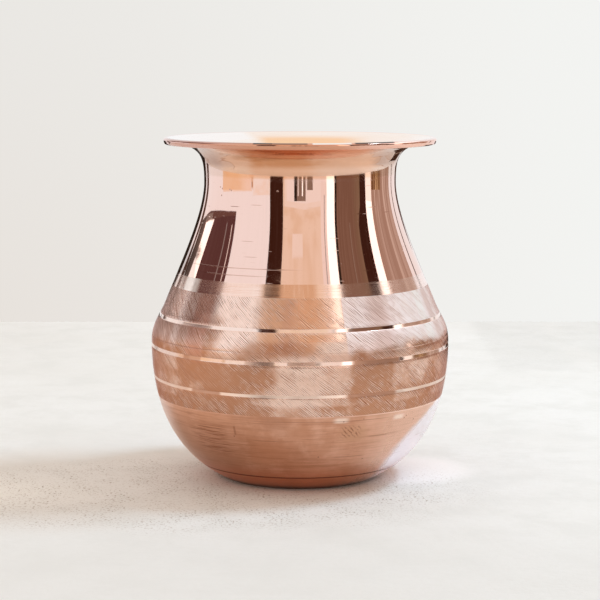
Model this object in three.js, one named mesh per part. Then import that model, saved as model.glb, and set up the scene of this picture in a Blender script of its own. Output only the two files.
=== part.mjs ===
// A lota: the round-bellied, wide-lipped water pot of South Asia, made of sheet copper.
// Millimetres, +Z up. The origin is the middle of the face that the pot stands on.
//
// A coppersmith makes it from two spun shells and a wire:
//   bowl               the lower shell, with its standing ring and dished base
//   shoulder_and_neck  the upper shell, whose lip is curled over a wire
//   lip_wire           the wire in the curl, which keeps the wide mouth round
//   seam_braze         the fillet of brazing metal along the lap inside the belly
// The upper shell's tongue drops into the bowl's mouth until the two outer skins meet flush.

import * as THREE from "three";

// Driving dimensions

const SHEET = 0.6; // thickness of the copper

// Stations of the outer skin, from the base up
const FOOT_RADIUS = 25.5; // outer edge of the standing ring
const BELLY_RADIUS = 50.0; // the widest place
const BELLY_HEIGHT = 46.0;
const SHOULDER_INSET = 4.2; // from the belly in to where its rounding runs out into the cone
const SHOULDER_RISE = 12.0; // and up to there
const NECK_RADIUS = 32.0; // the narrowest place
const NECK_RISE = 41.4; // from the shoulder up to the neck
const LIP_SPREAD = 12.3; // from the neck out to where the lip's curl begins
const LIP_RISE = 13.55; // and up to there

// Which way the skin runs at those stations, in degrees above the horizontal
const FOOT_SLOPE = 24.5;
const SHOULDER_SLOPE = 112.4;
const LIP_SLOPE = 14.8;
const UPRIGHT = 90;

// How far each curve holds the direction of its two ends, as shares of the straight line between them
const BOWL_REACH = [0.226, 0.565];
const BELLY_REACH = [0.45, 0.25];
const SHOULDER_REACH = [0.4, 0.233];
const FLARE_REACH = [0.526, 0.6];

// Base
const STANDING_RING = 6.0; // width of the flat ring that the pot stands on
const DISH_DEPTH = 1.2; // how far the middle of the base is pressed up
const DISH_RAMP = 2.0; // width of the slope up to it

// Joint of the two shells
const SEAM_RISE = 2.5; // from the widest place up to the seam
const LAP = 4.0; // length of the tongue below the seam
const BRAZE_GAP = 0.05; // clearance that the brazing metal runs into
const FILLET_LEG = 0.8; // height of the braze under the tongue
const FILLET_CLEARANCE = 0.1; // between the braze and the two shells

// Lip
const WIRE_DIAMETER = 0.8;
const CURL_CLEARANCE = 0.03; // between the wire and the sheet rolled round it
const CURL_OPENING = 105; // degrees of the wire's round that the sheet leaves bare, towards the neck

// Turned lines: three bright ones round the belly and a fine one round the foot
const UPPER_LINE_RISE = 9.3; // of its middle, above the widest place
const MIDDLE_LINE_DROP = 0.7; // of its middle, below the widest place
const LOWER_LINE_DROP = 11.3;
const BRIGHT_LINE_WIDTH = 1.2;
const FOOT_LINE_HEIGHT = 5.5;
const FOOT_LINE_WIDTH = 0.5;
const LINE_DEPTH = 0.12;
const LINE_BEVEL = 0.12; // width of the slope on each side of a line

// Fineness of the model
const SEGMENTS = 56; // round the axis
const BOWL_STEPS = 11;
const BELLY_STEPS = 3; // on each side of the seam
const SHOULDER_STEPS = 7;
const FLARE_STEPS = 8;
const CURL_STEPS = 10;
const WIRE_SIDES = 8;

// Materials

const satinCopper = new THREE.MeshStandardMaterial({
  name: "satin_copper",
  color: 0xc98a6c,
  roughness: 0.35,
  metalness: 1,
});
const polishedCopper = new THREE.MeshStandardMaterial({
  name: "polished_copper",
  color: 0xe2a58a,
  roughness: 0.08,
  metalness: 1,
});
const wireCopper = new THREE.MeshStandardMaterial({
  name: "wire_copper",
  color: 0xb87453,
  roughness: 0.45,
  metalness: 1,
});
const brazingMetal = new THREE.MeshStandardMaterial({
  name: "brazing_metal",
  color: 0xc9a25c,
  roughness: 0.5,
  metalness: 1,
});

// Small tools, in the plane of radius and height

const point = (radius, height) => new THREE.Vector2(radius, height);

function heading(degrees) {
  const angle = THREE.MathUtils.degToRad(degrees);
  return point(Math.cos(angle), Math.sin(angle));
}

// Points on an arc, both ends included; a negative turn runs clockwise.
function arc(centre, radius, from, turn, steps) {
  const spoke = (i) => heading(from + (turn * i) / steps).multiplyScalar(radius);
  return Array.from({ length: steps + 1 }, (_, i) => spoke(i).add(centre));
}

// The value between low and high at which a test that starts true turns false.
const SEARCH_TOLERANCE = 1e-9;

function turningPoint(low, high, test) {
  const middle = (low + high) / 2;
  if (high - low < SEARCH_TOLERANCE) return middle;
  return test(middle) ? turningPoint(middle, high, test) : turningPoint(low, middle, test);
}

// A body turned round the Z axis from an outline that starts and ends on it.
function turned(name, outline, material) {
  const geometry = new THREE.LatheGeometry(outline, SEGMENTS).rotateX(Math.PI / 2);
  const mesh = new THREE.Mesh(geometry, material);
  mesh.name = name;
  return mesh;
}

// A ring turned from an outline that stays off the axis and closes on itself.
const ring = (name, outline, material) => turned(name, [...outline, outline[0]], material);

// The outer skin: four curves that meet without a kink

const shoulderHeight = BELLY_HEIGHT + SHOULDER_RISE;
const neckHeight = shoulderHeight + NECK_RISE;

const foot = point(FOOT_RADIUS, 0);
const belly = point(BELLY_RADIUS, BELLY_HEIGHT);
const shoulder = point(BELLY_RADIUS - SHOULDER_INSET, shoulderHeight);
const neck = point(NECK_RADIUS, neckHeight);
const lip = point(NECK_RADIUS + LIP_SPREAD, neckHeight + LIP_RISE);

// A curve between two stations that leaves and arrives in the directions given.
function span(start, startSlope, end, endSlope, [startReach, endReach]) {
  const length = start.distanceTo(end);
  const leave = heading(startSlope).multiplyScalar(length * startReach);
  const arrive = heading(endSlope).multiplyScalar(length * endReach);
  return new THREE.CubicBezierCurve(start, start.clone().add(leave), end.clone().sub(arrive), end);
}

const bowlCurve = span(foot, FOOT_SLOPE, belly, UPRIGHT, BOWL_REACH);
const bellyCurve = span(belly, UPRIGHT, shoulder, SHOULDER_SLOPE, BELLY_REACH);
const shoulderCurve = span(shoulder, SHOULDER_SLOPE, neck, UPRIGHT, SHOULDER_REACH);
const flareCurve = span(neck, UPRIGHT, lip, LIP_SLOPE, FLARE_REACH);

// A spot on the skin, with the unit normal that points out of the pot.
function spotOn(curve, t) {
  const along = curve.getTangent(t);
  return { at: curve.getPoint(t), out: point(along.y, -along.x) };
}

function spotsOn(curve, steps, from = 0, to = 1) {
  return Array.from({ length: steps + 1 }, (_, i) => spotOn(curve, from + ((to - from) * i) / steps));
}

// The parameter at which a curve, which only rises, passes a height.
const parameterAt = (curve, height) => turningPoint(0, 1, (t) => curve.getPoint(t).y < height);

function spotAt(height) {
  const lower = [bowlCurve, bellyCurve, shoulderCurve].find((curve) => height <= curve.v3.y);
  const curve = lower ?? flareCurve;
  return spotOn(curve, parameterAt(curve, height));
}

const sunk = (spot, depth) => spot.at.clone().addScaledVector(spot.out, -depth);
const insideOf = (spot) => sunk(spot, SHEET);

// A turned line is a shallow groove with a flat floor between two steep sides.
function groove({ height, width }) {
  const brink = width / 2;
  const floor = brink - LINE_BEVEL;
  return [
    spotAt(height - brink).at,
    sunk(spotAt(height - floor), LINE_DEPTH),
    sunk(spotAt(height + floor), LINE_DEPTH),
    spotAt(height + brink).at,
  ];
}

// The outer points of a stretch of skin, from the base up, with its turned lines cut in.
function outerPoints(skin, lines) {
  const clearOf = (p) => lines.every((line) => Math.abs(p.y - line.height) > line.width / 2);
  const plain = skin.map((spot) => spot.at).filter(clearOf);
  return [...plain, ...lines.flatMap(groove)].sort((a, b) => a.y - b.y);
}

const footLine = { height: FOOT_LINE_HEIGHT, width: FOOT_LINE_WIDTH };
const brightLines = [-LOWER_LINE_DROP, -MIDDLE_LINE_DROP, UPPER_LINE_RISE].map((rise) => ({
  height: BELLY_HEIGHT + rise,
  width: BRIGHT_LINE_WIDTH,
}));

// The joint, whose sizes both shells share

const seamHeight = BELLY_HEIGHT + SEAM_RISE;
const seam = parameterAt(bellyCurve, seamHeight);
const seamRadius = bellyCurve.getPoint(seam).x;
const mouthRadius = insideOf(spotOn(bellyCurve, seam)).x;

const tongueFoot = seamHeight - LAP;
const wallAtTongueFoot = insideOf(spotAt(tongueFoot)).x;
const tongueOuter = Math.min(mouthRadius, wallAtTongueFoot) - BRAZE_GAP; // it has to pass both
const tongueInner = tongueOuter - SHEET;
const seatHeight = seamHeight + BRAZE_GAP; // the upper shell's edge, over the bowl's

// Where the straight inside of the tongue runs out into the inside of the shoulder.
const joggle = spotAt(turningPoint(seamHeight, neckHeight, (h) => insideOf(spotAt(h)).x > tongueInner));

// Pieces

function makeBowl() {
  const skin = [...spotsOn(bowlCurve, BOWL_STEPS), ...spotsOn(bellyCurve, BELLY_STEPS, 0, seam).slice(1)];
  const lines = [footLine, ...brightLines].filter((line) => line.height < seamHeight);

  const ringInner = FOOT_RADIUS - STANDING_RING;
  const dishEdge = ringInner - DISH_RAMP;
  const floorCorner = FOOT_RADIUS - SHEET * Math.tan(THREE.MathUtils.degToRad(FOOT_SLOPE) / 2);

  const underside = [point(0, DISH_DEPTH), point(dishEdge, DISH_DEPTH), point(ringInner, 0)];
  const mouth = [point(mouthRadius, seamHeight)];
  const inside = skin.slice(1, -1).map(insideOf).reverse();
  const floor = [
    point(floorCorner, SHEET),
    point(ringInner, SHEET),
    point(dishEdge, DISH_DEPTH + SHEET),
    point(0, DISH_DEPTH + SHEET),
  ];
  const outline = [...underside, ...outerPoints(skin, lines), ...mouth, ...inside, ...floor];
  return turned("bowl", outline, satinCopper);
}

// The sheet of the flare goes over the wire, down its far side and back in under it.
const wireRadius = WIRE_DIAMETER / 2;
const curlInner = wireRadius + CURL_CLEARANCE;
const curlOuter = curlInner + SHEET;
const curlStart = LIP_SLOPE + UPRIGHT; // seen from the wire, the side that the flare comes in on
const curlTurn = CURL_OPENING - 360;
const curlCentre = sunk(spotOn(flareCurve, 1), -curlInner);

function makeShoulderAndNeck() {
  const skin = [
    ...spotsOn(bellyCurve, BELLY_STEPS, seam, 1),
    ...spotsOn(shoulderCurve, SHOULDER_STEPS).slice(1),
    ...spotsOn(flareCurve, FLARE_STEPS).slice(1),
  ].slice(1, -1); // its two ends are in the edge and in the curl
  const lines = brightLines.filter((line) => line.height > seamHeight);

  const edge = [point(tongueOuter, seatHeight), point(seamRadius, seatHeight)];
  const curlInside = arc(curlCentre, curlInner, curlStart, curlTurn, CURL_STEPS);
  const curlOutside = arc(curlCentre, curlOuter, curlStart, curlTurn, CURL_STEPS).reverse();
  const aboveJoggle = skin.filter((spot) => spot.at.y > joggle.at.y + SHEET);
  const inside = aboveJoggle.map(insideOf).reverse();
  const tongue = [
    point(tongueInner, insideOf(joggle).y),
    point(tongueInner, tongueFoot),
    point(tongueOuter, tongueFoot),
  ];
  const outline = [...edge, ...outerPoints(skin, lines), ...curlInside, ...curlOutside, ...inside, ...tongue];
  return ring("shoulder_and_neck", outline, polishedCopper);
}

function makeLipWire() {
  const section = arc(curlCentre, wireRadius, 0, 360, WIRE_SIDES).slice(0, -1);
  return ring("lip_wire", section, wireCopper);
}

// The braze fills the corner between the tongue's lower edge and the bowl.
function makeSeamBraze() {
  const top = tongueFoot - FILLET_CLEARANCE;
  const bottom = top - FILLET_LEG;
  const wallAt = (height) => insideOf(spotAt(height)).x - FILLET_CLEARANCE;
  const section = [point(tongueInner, top), point(wallAt(bottom), bottom), point(wallAt(top), top)];
  return ring("seam_braze", section, brazingMetal);
}

const lota = new THREE.Group();
lota.name = "lota";
lota.add(makeBowl(), makeShoulderAndNeck(), makeLipWire(), makeSeamBraze());

export default lota;
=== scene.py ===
# A copper lota on a pale table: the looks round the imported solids.
# Sizes are in millimetres until they go into a mesh or a light, which are in metres.

from math import acos, ceil, copysign, cos, degrees, pi, radians, sin, tan

import bpy
import numpy as np
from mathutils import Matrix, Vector


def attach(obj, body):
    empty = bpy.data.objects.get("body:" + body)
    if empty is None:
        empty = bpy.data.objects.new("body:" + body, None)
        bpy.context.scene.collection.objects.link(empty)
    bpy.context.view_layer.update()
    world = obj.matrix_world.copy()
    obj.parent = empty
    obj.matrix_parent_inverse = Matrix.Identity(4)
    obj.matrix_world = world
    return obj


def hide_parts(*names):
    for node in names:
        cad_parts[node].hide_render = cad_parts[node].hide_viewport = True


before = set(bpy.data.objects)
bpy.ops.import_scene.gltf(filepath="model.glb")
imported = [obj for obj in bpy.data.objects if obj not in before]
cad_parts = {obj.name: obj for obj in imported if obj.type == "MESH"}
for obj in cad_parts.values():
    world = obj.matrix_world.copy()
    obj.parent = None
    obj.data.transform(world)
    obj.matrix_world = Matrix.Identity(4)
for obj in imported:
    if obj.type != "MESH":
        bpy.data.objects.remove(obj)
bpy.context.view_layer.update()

MM = 0.001


# The camera, at the photograph's place

CAMERA_BACK = 660.0
CAMERA_UP = 143.9
CAMERA_TILT = 82.69  # degrees from straight down
LENS = 118.45
SENSOR = 36.0
CLIP = (0.01, 20.0)  # metres

camera_data = bpy.data.cameras.new("camera")
camera_data.lens = LENS
camera_data.sensor_width = SENSOR
camera_data.clip_start, camera_data.clip_end = CLIP
camera = bpy.data.objects.new("camera", camera_data)
camera.location = (0.0, -CAMERA_BACK * MM, CAMERA_UP * MM)
camera.rotation_euler = (radians(CAMERA_TILT), 0.0, 0.0)
bpy.context.scene.collection.objects.link(camera)
bpy.context.scene.camera = camera
bpy.context.scene.view_settings.view_transform = "Standard"


# Driving sizes, as in the solids but for the lip's rise

SHEET = 0.6
FOOT_RADIUS = 25.5
BELLY_RADIUS = 50.0
BELLY_HEIGHT = 46.0
SHOULDER_INSET = 4.2
SHOULDER_RISE = 12.0
NECK_RADIUS = 32.0
NECK_RISE = 41.4
LIP_SPREAD = 12.3
LIP_RISE = 14.05  # half a millimetre over the solids' lip, as the photograph shows it
FOOT_SLOPE = 24.5
SHOULDER_SLOPE = 112.4
LIP_SLOPE = 14.8
UPRIGHT = 90.0
BOWL_REACH = (0.226, 0.565)
BELLY_REACH = (0.45, 0.25)
SHOULDER_REACH = (0.4, 0.233)
FLARE_REACH = (0.526, 0.6)
STANDING_RING = 6.0
DISH_DEPTH = 1.2
DISH_RAMP = 2.0
SEAM_RISE = 2.5
LAP = 4.0
BRAZE_GAP = 0.05
FILLET_LEG = 0.8
FILLET_CLEARANCE = 0.1
WIRE_DIAMETER = 0.8
CURL_CLEARANCE = 0.03
CURL_OPENING = 105.0
UPPER_LINE_RISE = 9.3
MIDDLE_LINE_DROP = 0.7
LOWER_LINE_DROP = 11.3
FOOT_LINE_HEIGHT = 5.5
FOOT_LINE_WIDTH = 0.5
LINE_DEPTH = 0.12
LINE_BEVEL = 0.12
LOWER_FACET = (1.0, 5.0)  # a bright line's width, and how far its face looks up, in degrees
MIDDLE_FACET = (1.25, 7.5)
UPPER_FACET = (1.1, 21.0)
FACET_LEAST_DEPTH = 0.04
RIM_SQUARENESS = 3.6  # 2 would be a round bead
RIM_LEAN = -18.0

# Where the finishes of the outer skin meet
HATCH_LOW = 28.1
HATCH_HIGH = 65.2
SATIN_HIGH = 69.35
FLARE_LOW = 101.0
LIP_INSIDE_LOW = 106.0

# Fineness of the meshes
SIDES = 192
OUTER_SPACING = 1.0
INNER_SPACING = 1.6
CURL_STEPS = 22
WIRE_STEPS = 14
DISH_STEPS = 8
SPAN_STEPS = 400
RIM_STEPS = 44
RIM_FADE_STEPS = 4  # at each end, from the round curl into its flattened front
EDGE_EASE = 0.1
LINE_EASE = 0.035
EASE_TURN = 20.0  # degrees: an outline that turns more at one point gets that corner eased
EASE_STEPS = 4
EASE_SHARE = 0.45  # the most that an eased corner takes of the stretch on either side
TOUCHING = 1e-6


# Outlines, as points of radius and height


def heading(slope):
    angle = radians(slope)
    return np.array([cos(angle), sin(angle)])


def span(start, start_slope, end, end_slope, reach):
    """Points on a curve that leaves and arrives in the directions given."""
    start = np.array(start)
    end = np.array(end)
    length = np.linalg.norm(end - start)
    leave = start + heading(start_slope) * length * reach[0]
    arrive = end - heading(end_slope) * length * reach[1]
    t = np.linspace(0, 1, SPAN_STEPS)[:, None]
    return (1 - t) ** 3 * start + 3 * (1 - t) ** 2 * t * leave + 3 * (1 - t) * t**2 * arrive + t**3 * end


def arc(centre, radius, start, turn, steps):
    return [centre + radius * heading(start + turn * i / steps) for i in range(steps + 1)]


shoulder_height = BELLY_HEIGHT + SHOULDER_RISE
neck_height = shoulder_height + NECK_RISE
lip_height = neck_height + LIP_RISE
seam_height = BELLY_HEIGHT + SEAM_RISE
foot = (FOOT_RADIUS, 0.0)
belly = (BELLY_RADIUS, BELLY_HEIGHT)
shoulder = (BELLY_RADIUS - SHOULDER_INSET, shoulder_height)
neck = (NECK_RADIUS, neck_height)
lip = (NECK_RADIUS + LIP_SPREAD, lip_height)

skin = np.vstack(
    [
        span(foot, FOOT_SLOPE, belly, UPRIGHT, BOWL_REACH),
        span(belly, UPRIGHT, shoulder, SHOULDER_SLOPE, BELLY_REACH)[1:],
        span(shoulder, SHOULDER_SLOPE, neck, UPRIGHT, SHOULDER_REACH)[1:],
        span(neck, UPRIGHT, lip, LIP_SLOPE, FLARE_REACH)[1:],
    ]
)
skin_length = np.concatenate([[0.0], np.cumsum(np.linalg.norm(np.diff(skin, axis=0), axis=1))])
skin_along = np.gradient(skin, skin_length, axis=0)

bright_lines = [
    (BELLY_HEIGHT - LOWER_LINE_DROP, *LOWER_FACET),
    (BELLY_HEIGHT - MIDDLE_LINE_DROP, *MIDDLE_FACET),
    (BELLY_HEIGHT + UPPER_LINE_RISE, *UPPER_FACET),
]
turned_lines = [(FOOT_LINE_HEIGHT, FOOT_LINE_WIDTH, None), *bright_lines]


def skin_at(heights, depth=0.0):
    """Points of the skin at some heights, sunk below it along its normal."""
    heights = np.asarray(heights, float)
    radius = np.interp(heights, skin[:, 1], skin[:, 0])
    along = np.column_stack([np.interp(heights, skin[:, 1], skin_along[:, k]) for k in (0, 1)])
    along /= np.linalg.norm(along, axis=1)[:, None]
    out = np.column_stack([along[:, 1], -along[:, 0]])
    return np.column_stack([radius, heights]) - out * np.reshape(depth, (-1, 1))


def line_depth(heights):
    """How deep the turned lines are cut at some heights; a bright line's face is turned to its own slope."""
    depth = np.zeros(len(heights))
    for middle, width, tilt in turned_lines:
        brink = width / 2
        stations = middle + np.array([-brink, LINE_BEVEL - brink, brink - LINE_BEVEL, brink])
        cut = np.full(2, LINE_DEPTH)
        if tilt:
            cut = skin_at(stations[1:3])[:, 0] + np.tan(radians(tilt)) * stations[1:3]
            cut += FACET_LEAST_DEPTH - cut.min()
        depth += np.interp(heights, stations, [0.0, *cut, 0.0])
    return depth


def skin_heights(low, high, spacing):
    """Heights from low to high, even along the skin, with every corner of a turned line among them."""
    stops = [low, high]
    for middle, width, _ in turned_lines:
        for reach in (width / 2, width / 2 - LINE_BEVEL):
            for corner in (middle - reach, middle + reach):
                if low < corner < high:
                    stops += [corner - LINE_EASE, corner, corner + LINE_EASE]
    stops = sorted(stops)
    heights = [low]
    for below, above in zip(stops, stops[1:]):
        start, end = np.interp([below, above], skin[:, 1], skin_length)
        count = max(1, ceil((end - start) / spacing))
        lengths = np.linspace(start, end, count + 1)[1:]
        heights += list(np.interp(lengths, skin_length, skin[:, 1]))
    return np.array(heights)


def outside(low, high):
    heights = skin_heights(low, high, OUTER_SPACING)
    return skin_at(heights, line_depth(heights))


def inside(high, low):
    """The inner face, from the top down; both heights are those of the outer skin opposite."""
    start, end = np.interp([low, high], skin[:, 1], skin_length)
    lengths = np.linspace(end, start, ceil((end - start) / INNER_SPACING) + 1)
    return skin_at(np.interp(lengths, skin_length, skin[:, 1]), SHEET)


def rolled_rim(centre, radius, start, turn):
    """The curl's outer face, pressed a little flat in front, which leans to look down."""
    points = []
    for i in range(RIM_STEPS + 1):
        angle = start + turn * i / RIM_STEPS
        across, up = np.abs(heading(angle - RIM_LEAN))
        bulge = (across**RIM_SQUARENESS + up**RIM_SQUARENESS) ** (-1 / RIM_SQUARENESS)
        share = min(1.0, i / RIM_FADE_STEPS, (RIM_STEPS - i) / RIM_FADE_STEPS)
        points.append(centre + radius * (1 + (bulge - 1) * share) * heading(angle))
    return points


curl_inner = WIRE_DIAMETER / 2 + CURL_CLEARANCE
curl_outer = curl_inner + SHEET
curl_start = LIP_SLOPE + 90
curl_turn = CURL_OPENING - 360
curl_centre = skin_at([lip_height], -curl_inner)[0]
rim = rolled_rim(curl_centre, curl_outer, curl_start + curl_turn, -curl_turn)
rim_top = max(point[1] for point in rim)


def eased(outline):
    """The outline's points and the finish of each stretch between them, sharp corners rounded a little."""
    points = []
    finishes = []
    for finish, stretch in outline:
        for p in stretch:
            p = np.asarray(p, float)
            if points and np.linalg.norm(p - points[-1]) < TOUCHING:
                continue
            if points:
                finishes.append(finish)
            points.append(p)
    closed = np.linalg.norm(points[0] - points[-1]) < TOUCHING
    if closed:
        points.pop()
    new_points = []
    new_finishes = []
    for i, p in enumerate(points):
        finish_before = finishes[i - 1] if closed or i else finishes[0]
        finish_after = finishes[i] if i < len(finishes) else finishes[-1]
        if closed or 0 < i < len(points) - 1:
            back = points[i - 1] - p
            ahead = points[(i + 1) % len(points)] - p
            back_length = np.linalg.norm(back)
            ahead_length = np.linalg.norm(ahead)
            cosine = np.clip(-(back @ ahead) / (back_length * ahead_length), -1, 1)
            if degrees(acos(cosine)) >= EASE_TURN:
                reach = min(EDGE_EASE, EASE_SHARE * back_length, EASE_SHARE * ahead_length)
                start = p + back / back_length * reach
                end = p + ahead / ahead_length * reach
                for k in range(EASE_STEPS + 1):
                    t = k / EASE_STEPS
                    new_points.append((1 - t) ** 2 * start + 2 * t * (1 - t) * p + t**2 * end)
                    new_finishes.append(finish_before if k < EASE_STEPS / 2 else finish_after)
                continue
        new_points.append(p)
        new_finishes.append(finish_after)
    if not closed:
        new_finishes.pop()
    return np.array(new_points), new_finishes, closed


def outline_normals(points, closed):
    """Normals to the outline that lean to the shorter stretch at each point, so uneven rows don't kink."""
    back = points - np.roll(points, 1, axis=0)
    ahead = np.roll(back, -1, axis=0)
    back_length, ahead_length = [np.linalg.norm(way, axis=1)[:, None] for way in (back, ahead)]
    tangents = back / back_length * ahead_length + ahead / ahead_length * back_length
    if not closed:
        tangents[0] = ahead[0]
        tangents[-1] = back[-1]
    tangents /= np.linalg.norm(tangents, axis=1)[:, None]
    return np.column_stack([tangents[:, 1], -tangents[:, 0]])


def turned(name, outline, looks, wobble=None):
    """A body turned round the Z axis from (finish, points) stretches that run with the body on their left."""
    points, finishes, closed = eased(outline)
    normals = outline_normals(points, closed)
    angles = np.arange(SIDES) * 2 * pi / SIDES
    vertices = []
    vertex_normals = []
    rows = []
    for i, ((radius, height), (out, up)) in enumerate(zip(points, normals)):
        if radius < TOUCHING:
            rows.append([len(vertices)] * SIDES)
            vertices.append((0.0, 0.0, height * MM))
            vertex_normals.append((0.0, 0.0, copysign(1.0, up)))
            continue
        rows.append(range(len(vertices), len(vertices) + SIDES))
        for angle in angles:
            x = cos(angle)
            y = sin(angle)
            shift = wobble(i, angle) if wobble else 0.0
            r = (radius + shift * out) * MM
            vertices.append((r * x, r * y, (height + shift * up) * MM))
            vertex_normals.append((out * x, out * y, up))
    names = sorted(looks)
    faces = []
    materials = []
    for k, finish in enumerate(finishes):
        lower = rows[k]
        upper = rows[(k + 1) % len(rows)]
        for j in range(SIDES):
            n = (j + 1) % SIDES
            corners = [lower[j], lower[n], upper[n], upper[j]]
            faces.append(list(dict.fromkeys(corners)))
            materials.append(names.index(finish))
    mesh = bpy.data.meshes.new(name)
    mesh.from_pydata(vertices, [], faces)
    for finish in names:
        mesh.materials.append(looks[finish])
    mesh.polygons.foreach_set("material_index", materials)
    mesh.polygons.foreach_set("use_smooth", [True] * len(faces))
    mesh.update()
    if not wobble:
        mesh.normals_split_custom_set_from_vertices(vertex_normals)
    piece = bpy.data.objects.new(name, mesh)
    bpy.context.scene.collection.objects.link(piece)
    return piece


# Materials. Colours are linear, lengths are in mm, and turns go to the right from the camera's side.


class Value:
    """A node's output. Sums and products with it are nodes too."""

    def __init__(self, nodes, socket):
        self.nodes = nodes
        self.socket = socket

    def output(self, key):
        """Another output of the same node."""
        return Value(self.nodes, self.socket.node.outputs[key])

    def __add__(self, other):
        return self.nodes.math("ADD", self, other)

    __radd__ = __add__

    def __sub__(self, other):
        return self.nodes.math("SUBTRACT", self, other)

    def __mul__(self, other):
        return self.nodes.math("MULTIPLY", self, other)

    def __abs__(self):
        return self.nodes.math("ABSOLUTE", self)

    def clamped(self):
        return self.nodes.math("ADD", self, 0, clamp=True)

    def step(self, low, high, bottom=0, top=1):
        """Runs smoothly from bottom to top while the value runs from low to high."""
        inputs = {"Value": self, "From Min": low, "From Max": high, "To Min": bottom, "To Max": top}
        return self.nodes.node("MapRange", inputs, interpolation_type="SMOOTHSTEP")

    def band(self, middle, width):
        """1 at the middle, falling to 0 at half the width on either side."""
        return abs(self - middle).step(0, width / 2, 1, 0)


class Nodes:
    """The nodes of a material or a world. An input may be a number, a vector, a colour or a Value."""

    def __init__(self, owner):
        owner.use_nodes = True
        self.tree = owner.node_tree
        self.tree.nodes.clear()

    def node(self, kind, inputs=None, **settings):
        """Adds a node and gives its first output, if it has one."""
        node = self.tree.nodes.new("ShaderNode" + kind)
        for key, value in settings.items():
            setattr(node, key, value)
        for key, value in (inputs or {}).items():
            socket = node.inputs[key]
            if isinstance(value, Value):
                self.tree.links.new(value.socket, socket)
            else:
                socket.default_value = (*value, 1) if socket.type == "RGBA" else value
        return Value(self, node.outputs[0]) if node.outputs else None

    def math(self, operation, *values, clamp=False):
        return self.node("Math", dict(enumerate(values)), operation=operation, use_clamp=clamp)

    def vector(self, operation, *values):
        return self.node("VectorMath", dict(enumerate(values)), operation=operation)

    def blend(self, cover, colour, other):
        return self.node("Mix", {0: cover, 6: colour, 7: other}, data_type="RGBA").output(2)

    def coats(self, colour, *coats):
        """The colour under coats of others, each with how much it covers."""
        for cover, coat in coats:
            colour = self.blend(cover, colour, coat)
        return colour


class Look(Nodes):
    """A material, with the place, the turn, the height and the distance from the axis of each point."""

    def __init__(self, name):
        self.material = bpy.data.materials.new(name)
        super().__init__(self.material)
        place = self.node("TexCoord").output("Object")
        self.place = self.node("VectorMath", {"Vector": place, "Scale": 1 / MM}, operation="SCALE")
        parts = self.node("SeparateXYZ", {0: self.place})
        x, self.y, self.height = [parts.output(k) for k in range(3)]
        ahead = self.y * -1
        self.turn = self.math("ARCTAN2", x, ahead)
        self.reach = self.math("SQRT", x * x + self.y * self.y)
        self.cosine = self.math("DIVIDE", ahead, self.reach)
        self.sine = self.math("DIVIDE", x, self.reach)

    def noise(self, scale, detail, roughness=0.5, distortion=0, place=None):
        inputs = {"Vector": place or self.place, "Scale": scale, "Detail": detail}
        inputs.update({"Roughness": roughness, "Distortion": distortion})
        return self.node("TexNoise", inputs)

    def rings(self, along, up, detail, roughness=0.5, shift=0, turn=None, distortion=0):
        """Noise that closes on itself behind the pot, with along cells to a radian and up cells to a mm."""
        turn = turn or self.turn
        axes = {
            0: self.math("COSINE", turn) * along,
            1: self.math("SINE", turn) * along,
            2: self.math("MULTIPLY_ADD", self.height, up, shift),
        }
        return self.noise(1, detail, roughness, distortion, self.node("CombineXYZ", axes))

    def zone(self, turn, half_turn, height, half_height, soft=0.5):
        """1 in an oblong patch of the skin, with soft edges; turns here are in degrees."""
        wide = radians(half_turn)
        across = abs(self.turn - radians(turn))
        upright = abs(self.height - height)
        sides = across.step(wide * (1 - soft), wide * (1 + soft), 1, 0)
        return sides * upright.step(half_height * (1 - soft), half_height * (1 + soft), 1, 0)

    def spot(self, turn, height, radius):
        """1 at a point of the outer skin, falling to 0 at a radius round it; the turn is in degrees."""
        reach = skin_at([height])[0][0]
        angle = radians(turn)
        point = (reach * sin(angle), -reach * cos(angle), height)
        away = self.vector("DISTANCE", self.place, point).output("Value")
        return away.step(radius * 0.3, radius, 1, 0)

    def bump(self, height):
        return self.node("Bump", {"Strength": 1, "Distance": MM, "Height": height})

    def finish(self, shader):
        self.node("OutputMaterial", {"Surface": shader})
        return self.material

    def metal(self, colour, roughness, height, brushed=0, lean=0, metallic=1, rim_tint=None):
        """Copper or brass. A brushed face spreads its gloss across its lines, which run round the pot, or
        lean degrees below the horizontal to the right. The rim tint is that of a face seen edge on."""
        inputs = {"Base Color": colour, "Metallic": metallic, "Roughness": roughness}
        inputs["Normal"] = self.bump(height)
        if rim_tint:
            inputs["Specular Tint"] = rim_tint
        if brushed:
            along = sin(radians(lean))
            up = cos(radians(lean))
            inputs["Anisotropic"] = brushed
            across_lines = {0: self.cosine * along, 1: self.sine * along, 2: up}
            inputs["Tangent"] = self.node("CombineXYZ", across_lines)
        return self.finish(self.node("BsdfPrincipled", inputs))


BRIGHT_COPPER = (0.94, 0.68, 0.6)
DULL_COPPER = (0.62, 0.32, 0.2)
BROWN_COPPER = (0.36, 0.13, 0.065)
SCRATCH_BROWN = (0.28, 0.1, 0.05)
PIT_CELLS = 0.35  # cells to a mm of the grid that the pits lie in


def waviness(look, amount=0.006):
    """The slight unevenness that polishing leaves."""
    return look.noise(0.07, 1) * (amount * 2.5) + look.rings(4, 0.45, 1) * (amount * 0.3)


def lathe_marks(look, fineness, depth, along=2, amount=0.006):
    """The waviness, with fine lines that run round the pot."""
    return waviness(look, amount) + look.rings(along, fineness, 3, 0.6) * depth


def pits(look, share, size, depth):
    """Scattered small pits: a share of the cells of a loose grid holds one."""
    cell = look.node("TexVoronoi", {"Vector": look.place, "Scale": PIT_CELLS, "Randomness": 1})
    chosen = look.node("SeparateColor", {0: cell.output("Color")}).step(share, share - 0.02)
    mark = chosen * cell.output("Distance").step(size * 0.35, size * 0.15)
    return mark, mark * -depth


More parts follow.
